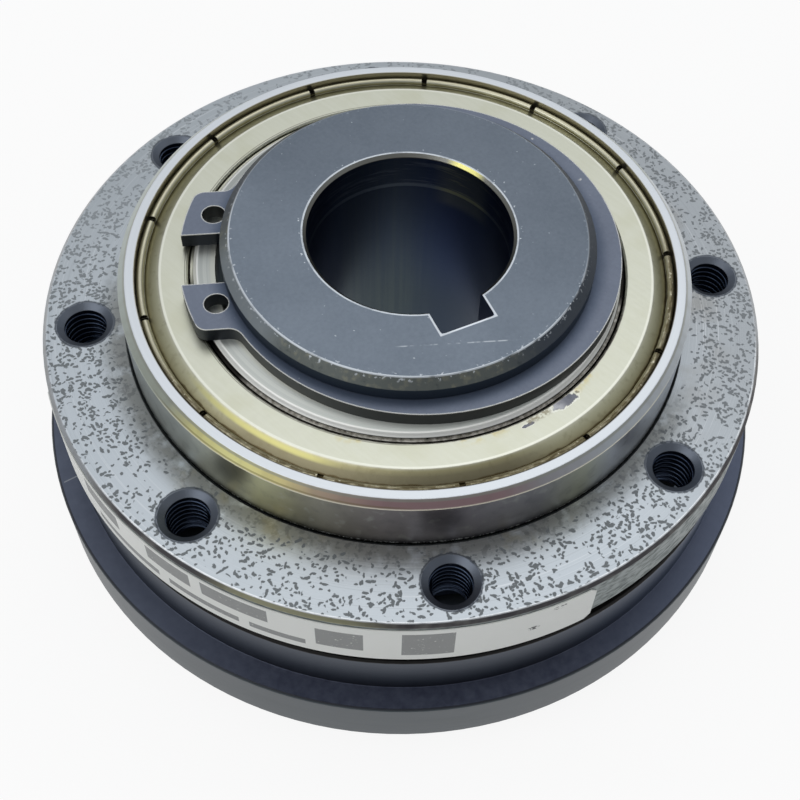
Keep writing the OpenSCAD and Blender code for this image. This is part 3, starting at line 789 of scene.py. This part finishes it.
def outer_ring_finish():
    ring = Finish("polished_outer_ring", metallic=1.0)
    face = ring.z.step(bearing_top - 0.04, bearing_top - 0.01)
    height = ring.z - flange_top
    foot = height.step(0.14, 0.04)
    flecks = ring.noise(0.25, 1, seed=11).step(0.5, 0.58) * height.near(0.13, 0.08, 0.08)
    bevel = ring.z.step(bevel_z - 0.06, bevel_z + 0.04)
    edge_line = ring.z.near(bevel_z, 0.04, 0.08) * ring.angle.between(196, 300, 8)
    under = ring.z.near(bevel_z + 0.16, 0.03, 0.07) * ring.angle.between(196, 240, 8)
    shoulder = ring.z.step(bevel_z + 0.52, bevel_z + 0.66)
    groove = ring.radius.step(groove_r + 0.15, groove_r)
    front = ring.angle.between(195, 325, 25)
    mottle = ring.noise(1.0, 4, ring.vector(ring.angle * 0.35, ring.z * 0.6, 0), 7)
    hairs = ring.turning(0.25, 60)
    colour = ring.layers(
        tones_round(ring, side_tones),
        (mottle.step(0.5, 0.7) * 0.22, linear(86, 88, 92)),
        (mottle.step(0.45, 0.3) * 0.3, linear(206, 206, 196)),
        # Painted reflection: the side is painted darker towards its foot, where it mirrors the
        # flange.
        (height.step(1.9, 0.1) * 0.5, linear(62, 64, 67)),
        # The bevel's mirrored bands are painted too: a ramp over the angle, a grey band near the
        # face, a painted dark line under the edge and a painted highlight along it on the near side.
        (bevel, tones_round(ring, bevel_tones)),
        (bevel * shoulder * 0.7, linear(168, 170, 160)),
        (bevel * mottle.step(0.4, 0.8) * 0.2, linear(130, 124, 112)),
        (under * 0.5, linear(130, 118, 84)),
        (edge_line * 0.75, linear(236, 232, 212)),
        # Painted shade: a dark line at the ring's foot, in the join with the flange.
        (foot, linear(38, 40, 38)),
        (flecks, linear(226, 226, 220)),
        (face, ring.mix(hairs, linear(214, 219, 224), linear(228, 232, 236))),
        (groove, ring.mix(front, linear(168, 164, 146), linear(84, 75, 56))),
    )
    rough = 0.34 + hairs * 0.08 + face * 0.04
    return ring.paint(colour, rough, ring.relief(hairs, 0.003, 0.15))


wear("bearing_outer_ring", outer_ring_finish())

# %% [markdown]
# ## Bearing shield
# The shield is thin plated sheet with a warm, champagne tone. Its bead is rolled into the outer
# ring, with notches at even steps, and oil and fine rust have gathered there. Its plating has
# peeled off in two small patches near the inner edge. A patch is a stretched circle whose outline
# is broken up by noise, and a light rim shows the plating's thickness.

# %% Measure the shield
shield_inner_r = 23.65
shield_flat_r = 26.7
bead_inner_r = 28.3
notch_count = 13
notch_phase = 6.1
notch_half = 0.3
print("shield: flat up to", shield_flat_r, "mm, with", notch_count, "notches")

# %% Mask the shield's damage and dirt


def shield_peel(shield, flat):
    """The two patches without plating, the light rim round them, and the rust beside them."""
    ragged = shield.noise(0.55, 5, seed=17) - 0.5
    peel = None
    for turn, middle_r, half_turn, half_r in ((285.3, 24.3, 3.9, 0.6), (274.0, 24.5, 1.6, 0.2)):
        across = (shield.angle - turn) / half_turn
        inwards = (shield.radius - middle_r) / half_r
        spread = across * across + inwards * inwards + ragged * 3.6
        peel = spread if peel is None else peel.least(spread)
    rusty = shield.angle.between(274.5, 280.5, 0.8) * shield.radius.step(24.75, 24.3)
    rusty = rusty * shield.noise(0.28, 4, seed=37).step(0.42, 0.56) * flat
    return peel.step(1.1, 0.9) * flat, peel.near(1.35, 0.15, 0.12) * flat, rusty


def shield_notch(shield):
    """The notches in the bead, at even steps."""
    local = shield.from_nearest(notch_count, notch_phase)
    beside = (local * (math.radians(1) * bead_inner_r)).size()
    notch = beside.step(notch_half + 0.05, notch_half - 0.05)
    return notch * shield.radius.step(bead_inner_r - 0.1, bead_inner_r + 0.05)


def shield_oil(shield, front):
    """Two wavering lines of old oil, at the bead's foot and on the bead."""
    wave = shield.noise(1.5, 3, seed=31) * 0.6 - 0.3
    waving = shield.radius + wave
    at_foot = waving.near(bead_inner_r - 0.1, 0.05, 0.16)
    on_bead = waving.near(bead_inner_r + 0.42, 0.03, 0.12) * 0.8
    return at_foot.most(on_bead) * (front * 0.8 + 0.2)


def shield_stain(shield):
    """Yellow stains at the inner edge."""
    places = (
        shield.angle.between(228, 233, 2)
        .most(shield.angle.between(258, 268, 3))
        .most(shield.angle.between(290, 296, 2))
    )
    cloud = shield.noise(0.9, 3, seed=23).step(0.42, 0.62)
    return shield.radius.step(25.0, 23.9) * cloud * places

# %% Finish the shield


def shield_slope(shield):
    """The slope's painted shade, which follows its depth and is darker at the front left, and a
    painted yellow reflection.
    """
    depth = (bearing_top - shield.z) / 1.2
    pale = shield.tones(
        depth,
        (0.2, linear(218, 216, 196)),
        (0.4, linear(190, 188, 160)),
        (0.75, linear(162, 157, 126)),
        (1.0, linear(118, 108, 78)),
    )
    dark = shield.tones(
        depth,
        (0.2, linear(208, 204, 180)),
        (0.36, linear(160, 154, 120)),
        (0.56, linear(130, 124, 100)),
        (1.0, linear(108, 102, 82)),
    )
    # A painted yellow reflection part way down the slope, at the front left.
    yellow = shield.angle.between(200, 222, 12) * depth.near(0.42, 0.03, 0.14)
    return shield.mix(shield.angle.between(212, 264, 16), pale, dark), yellow


def shield_finish():
    shield = Finish("plated_shield", metallic=1.0)
    front = shield.angle.between(196, 330, 20)
    flat = shield.radius.step(shield_flat_r + 0.05, shield_flat_r - 0.05)
    # A painted highlight along the rounded rim of the flat.
    flat_rim_highlight = shield.radius.near(shield_flat_r - 0.1, 0.1, 0.12)
    streak_way = shield.vector(shield.x * 3 + shield.y * 1.2, shield.y * 0.3, 0)
    streaks = shield.noise(1.4, 4, streak_way, 3)
    cloud = shield.noise(5, 3, seed=27)
    slope = shield.radius.between(shield_flat_r + 0.1, bead_inner_r - 0.1, 0.15)
    slope_tone, yellow = shield_slope(shield)
    bead = shield.radius.step(bead_inner_r, bead_inner_r + 0.2)
    grime = shield.noise(0.8, 4, seed=8)
    residue = grime.step(0.36, 0.6) * front
    flecks = shield.noise(0.4, 2, seed=19).step(0.64, 0.7) * bead * front
    filled = shield.angle.between(222, 262, 6)
    peel, peel_rim, rusty = shield_peel(shield, flat)
    bared = shield.mix(shield.angle.near(282.4, 0.4, 3), linear(112, 114, 122), linear(168, 169, 174))
    # The lip curls down into the gap at the front: painted shade on it, mottled by grime, and a
    # painted shadow line where it starts.
    lip = shield.radius.step(shield_inner_r + 0.32, shield_inner_r + 0.22)
    lip = lip * shield.angle.between(gap_start, gap_end, 6)
    lip_shade_line = shield.radius.near(shield_inner_r + 0.33, 0.02, 0.06) * shield.angle.step(250, 240)
    colour = shield.layers(
        shield.mix(streaks.step(0.2, 0.8), linear(205, 206, 189), linear(211, 212, 197)),
        (cloud.step(0.5, 0.7) * 0.4, linear(196, 196, 172)),
        (flat_rim_highlight * 0.6, linear(240, 240, 228)),
        # The slope's painted shade, then grime, then its painted yellow reflection.
        (slope, slope_tone),
        (slope * grime.step(0.5, 0.7) * 0.25, linear(110, 102, 76)),
        (slope * yellow * 0.7, linear(200, 195, 126)),
        (bead, linear(200, 196, 172)),
        (bead * front * (0.4 + residue * 0.45), linear(146, 136, 104)),
        (shield_oil(shield, front) * 0.8, linear(74, 62, 38)),
        (flecks, linear(214, 208, 186)),
        # The notches are painted near black, as shade in the cuts, except from 222 to 262 degrees,
        # where residue fills them.
        (shield_notch(shield), shield.mix(filled, linear(25, 22, 18), linear(104, 94, 66))),
        (peel_rim * 0.5, linear(238, 238, 232)),
        (peel, bared),
        (peel * grime.step(0.5, 0.62) * 0.4, linear(88, 90, 98)),
        (rusty * 0.75, linear(136, 128, 106)),
        (shield_stain(shield) * 0.6, linear(200, 186, 126)),
        # The lip's painted shade, mottled by grime, and its painted shadow line.
        (lip, shield.mix(grime.step(0.4, 0.62), linear(126, 124, 116), linear(178, 176, 166))),
        (lip_shade_line * 0.6, linear(70, 66, 56)),
    )
    rough = 0.32 + streaks * 0.06 + bead * residue * 0.3
    height = streaks * 0.2 - peel * 0.5 + residue * 0.4
    return shield.paint(colour, rough, shield.relief(height, 0.01, 0.12))


wear("bearing_shield", shield_finish())

# %% [markdown]
# ## Thrust disc
# The thrust disc is blued steel with fine turning marks on its barrel and its rim. The barrel
# mirrors the dark ledge that it stands on, so a ramp over its height darkens its foot. The ledge
# is blue-black and a little mottled, with one light scratch, drawn as a short slanting line.

# %% Finish the thrust disc
disc_r, barrel_top = reach("thrust_disc")
barrel_inner_r = 38.0
rim_top = 12.2


def disc_finish():
    disc = Finish("blued_thrust_disc", metallic=0.45)
    rim_side = disc.radius.step(disc_r - 0.3, disc_r - 0.22)
    ledge = disc.z.step(rim_top - 0.04, rim_top - 0.01) * disc.z.step(rim_top + 0.05, rim_top + 0.02)
    front = disc.angle.between(232, 268, 30)
    right = disc.x.step(-6, 26)
    inside = disc.radius.step(barrel_inner_r + 0.1, barrel_inner_r)
    # The barrel's top face, in the shadow under the flange's rim, is painted near black: painted
    # shade.
    crown_shade = disc.z.step(barrel_top - 0.35, barrel_top - 0.25) * (1 - inside)
    hairs = disc.turning(0.14, 60)
    rolled = disc.vector(disc.angle * (math.radians(0.25) * disc_r), disc.z, 0)
    barrel = disc.tones(
        (disc.z - rim_top) / (barrel_top - rim_top),
        (0.0, linear(14, 18, 28)),
        (0.25, linear(44, 50, 60)),
        (0.6, linear(74, 80, 90)),
        (1.0, linear(86, 92, 102)),
    )
    skin = disc.noise(0.9, 5, seed=3) * 0.75 + disc.noise(9, 2, seed=6) * 0.25
    side_tone = disc.noise(2, 3, rolled, 8)
    scratch = disc.y - 3.2 - (disc.x + 40.7) * 0.13
    scratch = scratch.near(0, 0.05, 0.06) * disc.x.between(-41.5, -40.0, 0.2)
    edge_line = disc.radius.near(disc_r - 0.2, 0.05, 0.08)
    edge_line = edge_line * disc.z.step(rim_top - 0.6, rim_top - 0.3)
    colour = disc.layers(
        barrel,
        # Painted light: the barrel is lighter and bluer on the right.
        (right * 0.45, linear(88, 102, 130)),
        (rim_side, disc.mix(side_tone, linear(66, 73, 78), linear(78, 85, 90))),
        (ledge, disc.tones(skin, (0.35, linear(60, 65, 84)), (0.65, linear(82, 88, 106)))),
        # Painted light on the ledge: lighter away from the front, and lighter and bluer on the right.
        (ledge * (1 - front) * 0.6, linear(98, 106, 124)),
        (ledge * right * 0.5, linear(96, 106, 130)),
        (ledge * scratch * 0.6, linear(168, 172, 178)),
        (inside, linear(60, 63, 70)),
        (crown_shade, linear(22, 20, 19)),
        (edge_line * 0.8, linear(30, 32, 38)),
    )
    rough = 0.36 + hairs * 0.12
    return disc.paint(colour, rough, disc.relief(hairs, 0.005, 0.15))


wear("thrust_disc", disc_finish())

# %% [markdown]
# ## Inner works
# What lies below and inside is seen only from underneath or through the gaps: springs, washer, nut,
# screws, balls and the bearing's cage. Each kind of steel gets one finish with its own turning or
# pressing marks, so that a close look still finds a made surface.

# %% Finish the inner works


def turned_steel(name, dark, light, rough_low, rough_high, across=0.2):
    """Plain steel between two tones, with turning marks and rounded edges."""
    steel = Finish(name, metallic=1.0)
    hairs = steel.turning(across, 30)
    cloud = steel.noise(4, 3, seed=5)
    colour = steel.layers(
        steel.mix(cloud.step(0.3, 0.7), linear(*dark), linear(*light)),
        (steel.edges(0.1) * 0.5, linear(215, 218, 220)),
    )
    rough = rough_low + hairs * (rough_high - rough_low)
    return steel.paint(colour, rough, steel.relief(hairs, 0.005, 0.1))


ball_steel = turned_steel("ball_steel", (205, 206, 208), (228, 229, 231), 0.08, 0.16, 0.5)
cage_sheet = turned_steel("cage_sheet", (160, 154, 140), (188, 182, 168), 0.3, 0.42)
spring_steel = turned_steel("oiled_spring_steel", (70, 70, 76), (98, 98, 104), 0.25, 0.42)
zinc_steel = turned_steel("zinc_plated_steel", (168, 172, 178), (200, 203, 208), 0.25, 0.38)
nut_steel = turned_steel("phosphated_nut_steel", (64, 67, 74), (84, 88, 95), 0.38, 0.52)
screw_steel = turned_steel("black_screw_steel", (34, 36, 42), (52, 54, 60), 0.3, 0.45)
race_steel = turned_steel("hardened_race_steel", (190, 190, 188), (214, 214, 212), 0.16, 0.28)
brass = turned_steel("pad_brass", (184, 146, 74), (204, 168, 92), 0.25, 0.4)

for node, steel in (
    ("bearing_balls", ball_steel),
    ("bearing_cage_upper", cage_sheet),
    ("bearing_cage_lower", cage_sheet),
    ("bearing_cage_rivets", ball_steel),
    ("thrust_race", race_steel),
    ("detent_balls", ball_steel),
    ("cup_spring_upper", spring_steel),
    ("cup_spring_lower", spring_steel),
    ("spring_washer", zinc_steel),
    ("adjusting_nut", nut_steel),
    ("lock_screws", screw_steel),
    ("lock_pads", brass),
):
    wear(node, steel)

# %% [markdown]
# ## Printed label
# The label is a strip of off-white film, wrapped round the flange's rim. It begins as an open
# cylinder, as tall as the label. The faces outside of its arc are deleted, slanting cuts take the
# corners off, and Solidify gives the film its thickness. The print is plain bars and squares of
# grey, laid out along the strip: such labels carry data, but this one says nothing.

# %% Make the label's strip
label_low, label_high = (corner.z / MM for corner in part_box("rating_label"))
label_tall = label_high - label_low
label_start, label_end = 172.8, 272.8
label_thick = 0.12
label_corner = 0.6
label_steps = 720


def deselect():
    """Nothing stays selected, in object mode."""
    if bpy.context.object and bpy.context.object.mode == "EDIT":
        bpy.ops.object.mode_set(mode="OBJECT")
    bpy.ops.object.select_all(action="DESELECT")


def choose_faces(piece, test):
    """Selects the faces of a piece that pass a test, and stays in edit mode."""
    bpy.ops.object.mode_set(mode="EDIT")
    bpy.ops.mesh.select_mode(type="FACE")
    bpy.ops.mesh.select_all(action="DESELECT")
    bpy.ops.object.mode_set(mode="OBJECT")
    count = 0
    for face in piece.data.polygons:
        face.select = test(face)
        count += face.select
    bpy.ops.object.mode_set(mode="EDIT")
    return count


def turn_of(point):
    """Angle round the axis, in degrees from 0 to 360."""
    return math.degrees(math.atan2(point.y, point.x)) % 360


deselect()
bpy.ops.mesh.primitive_cylinder_add(
    vertices=label_steps,
    radius=flange_r * MM,
    depth=label_tall * MM,
    end_fill_type="NOTHING",
    location=(0, 0, (label_high + label_low) / 2 * MM),
)
label = bpy.context.object
label.name = "rating_label_film"
bpy.ops.object.transform_apply(location=True, rotation=True, scale=True)
cut = choose_faces(label, lambda face: not label_start < turn_of(face.center) < label_end)
bpy.ops.mesh.delete(type="FACE")
print("label: left out", cut, "of", label_steps, "strips")

# %% Cut the label's corners
cut_reach = label_tall / 2 + 4

for turn, endwards in ((label_start, -1), (label_end, 1)):
    for level, upwards in ((label_low, -1), (label_high, 1)):
        angle = math.radians(turn)
        corner = Vector((math.cos(angle) * flange_r, math.sin(angle) * flange_r, level))
        tangent = Vector((-math.sin(angle), math.cos(angle), 0))
        slant = (tangent * endwards + Vector((0, 0, upwards))).normalized()
        choose_faces(label, lambda face: (face.center / MM - corner).length < cut_reach)
        bpy.ops.mesh.bisect(
            plane_co=(corner - slant * label_corner * math.sqrt(0.5)) * MM,
            plane_no=slant,
            clear_outer=True,
        )
print("label: four corners cut by", label_corner, "mm")

# %% Give the film its thickness
deselect()
film = label.modifiers.new("film", "SOLIDIFY")
film.thickness = label_thick * MM
film.offset = 1
bpy.context.view_layer.objects.active = label
bpy.ops.object.modifier_apply(modifier="film")
print("label:", len(label.data.polygons), "faces")

# %% Print the label's bars
label_bars = (
    (14.7, 19.9, 1.1, 5.9),
    (23.7, 28.4, 1.7, 5.3),
    (33.3, 40.6, 3.6, 6.1),
    (29.5, 35.4, 1.1, 2.1),
    (42.0, 47.6, 3.6, 6.1),
    (36.6, 45.0, 1.1, 2.1),
    (52.0, 58.0, 3.6, 6.1),
    (46.4, 56.0, 1.1, 2.1),
)
print("label:", len(label_bars), "bars, each from and to along it, and from and to upwards")


def label_finish():
    film = Finish("printed_film")
    run = (label_end - film.angle) * (math.radians(1) * flange_r)
    rise = film.z - label_low
    mask = None
    for start, end, low, high in label_bars:
        bar = run.between(start, end, 0.04) * rise.between(low, high, 0.04)
        mask = bar if mask is None else mask.most(bar)
    ink = film.noise(0.3, 3, seed=2).step(0.2, 0.4)
    upper = run.near(4.0, 0.5, 0.3) * rise.near(5.85, 0.25, 0.2)
    lower = run.near(6.6, 0.5, 0.3) * rise.near(2.95, 0.25, 0.2)
    flecks = film.noise(0.35, 3, seed=4).step(0.5, 0.56) * upper.most(lower)
    colour = film.layers(
        film.mix(film.noise(6, 3, seed=6), linear(229, 230, 225), linear(238, 239, 235)),
        (mask * ink * 0.9, linear(118, 120, 120)),
        (flecks, linear(60, 62, 64)),
    )
    rough = 0.38 + film.noise(1.2, 3, seed=8) * 0.15
    return film.paint(colour, rough, film.relief(film.noise(3, 2, seed=1), 0.02, 0.05))


label.data.materials.append(label_finish())
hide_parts("rating_label")
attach(label, "flange_set")

# %% [markdown]
# ## Screw threads
# The eight holes are tapped M5. A thread is a triangle that climbs while it goes round, which is
# just what the Screw modifier does. One thread is made at the axis, and a copy with its own mesh
# goes into each hole.

# %% Cut one thread
thread_pitch = 0.8
thread_width = 0.84 * thread_pitch
thread_root_r = screw_r + 0.12
thread_crest_r = screw_r - 0.21
thread_size = (thread_root_r - thread_crest_r) / 1.5
thread_stretch = thread_width / (thread_size * math.sqrt(3))
thread_turns = 6.6
thread_low = rim_low + 0.12
thread_steps = 36


def make_thread():
    """A triangle whose base lies in the hole's wall, wound up along the axis."""
    deselect()
    bpy.ops.mesh.primitive_circle_add(
        vertices=3,
        radius=thread_size * MM,
        fill_type="NOTHING",
        location=(
            (thread_root_r - thread_size / 2) * MM,
            0,
            (thread_low + thread_pitch / 2) * MM,
        ),
        rotation=(math.pi / 2, -math.pi / 2, 0),
        scale=(thread_stretch, 1, 1),
    )
    thread = bpy.context.object
    bpy.ops.object.transform_apply(location=True, rotation=True, scale=True)
    climb = thread.modifiers.new("climb", "SCREW")
    climb.axis = "Z"
    climb.angle = math.tau * thread_turns
    climb.screw_offset = thread_pitch * thread_turns * MM
    climb.steps = int(thread_steps * thread_turns)
    climb.render_steps = climb.steps
    bpy.ops.object.modifier_apply(modifier="climb")
    bpy.ops.object.mode_set(mode="EDIT")
    bpy.ops.mesh.select_all(action="SELECT")
    bpy.ops.mesh.fill_holes(sides=3)
    bpy.ops.mesh.select_all(action="SELECT")
    bpy.ops.mesh.normals_make_consistent(inside=False)
    bpy.ops.object.mode_set(mode="OBJECT")
    return thread


first_thread = make_thread()
heights = [vertex.co.z / MM for vertex in first_thread.data.vertices]
print("thread:", len(first_thread.data.polygons), "faces, up to", round(max(heights), 2), "mm")

# %% Copy it into the holes
thread_steel = turned_steel("tapped_thread_steel", (48, 57, 76), (74, 86, 106), 0.25, 0.4)
for number in range(screw_count):
    turn = math.radians(screw_phase + number * 360 / screw_count)
    thread = first_thread.copy()
    thread.data = first_thread.data.copy()
    thread.name = f"screw_thread_{number + 1}"
    bpy.context.scene.collection.objects.link(thread)
    middle = Vector((math.cos(turn), math.sin(turn), 0)) * screw_circle * MM
    thread.data.transform(Matrix.Translation(middle))
    thread.data.materials.append(thread_steel)
    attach(thread, "flange_set")
bpy.data.objects.remove(first_thread)
print("threads:", screw_count, "on a circle of radius", screw_circle, "mm")
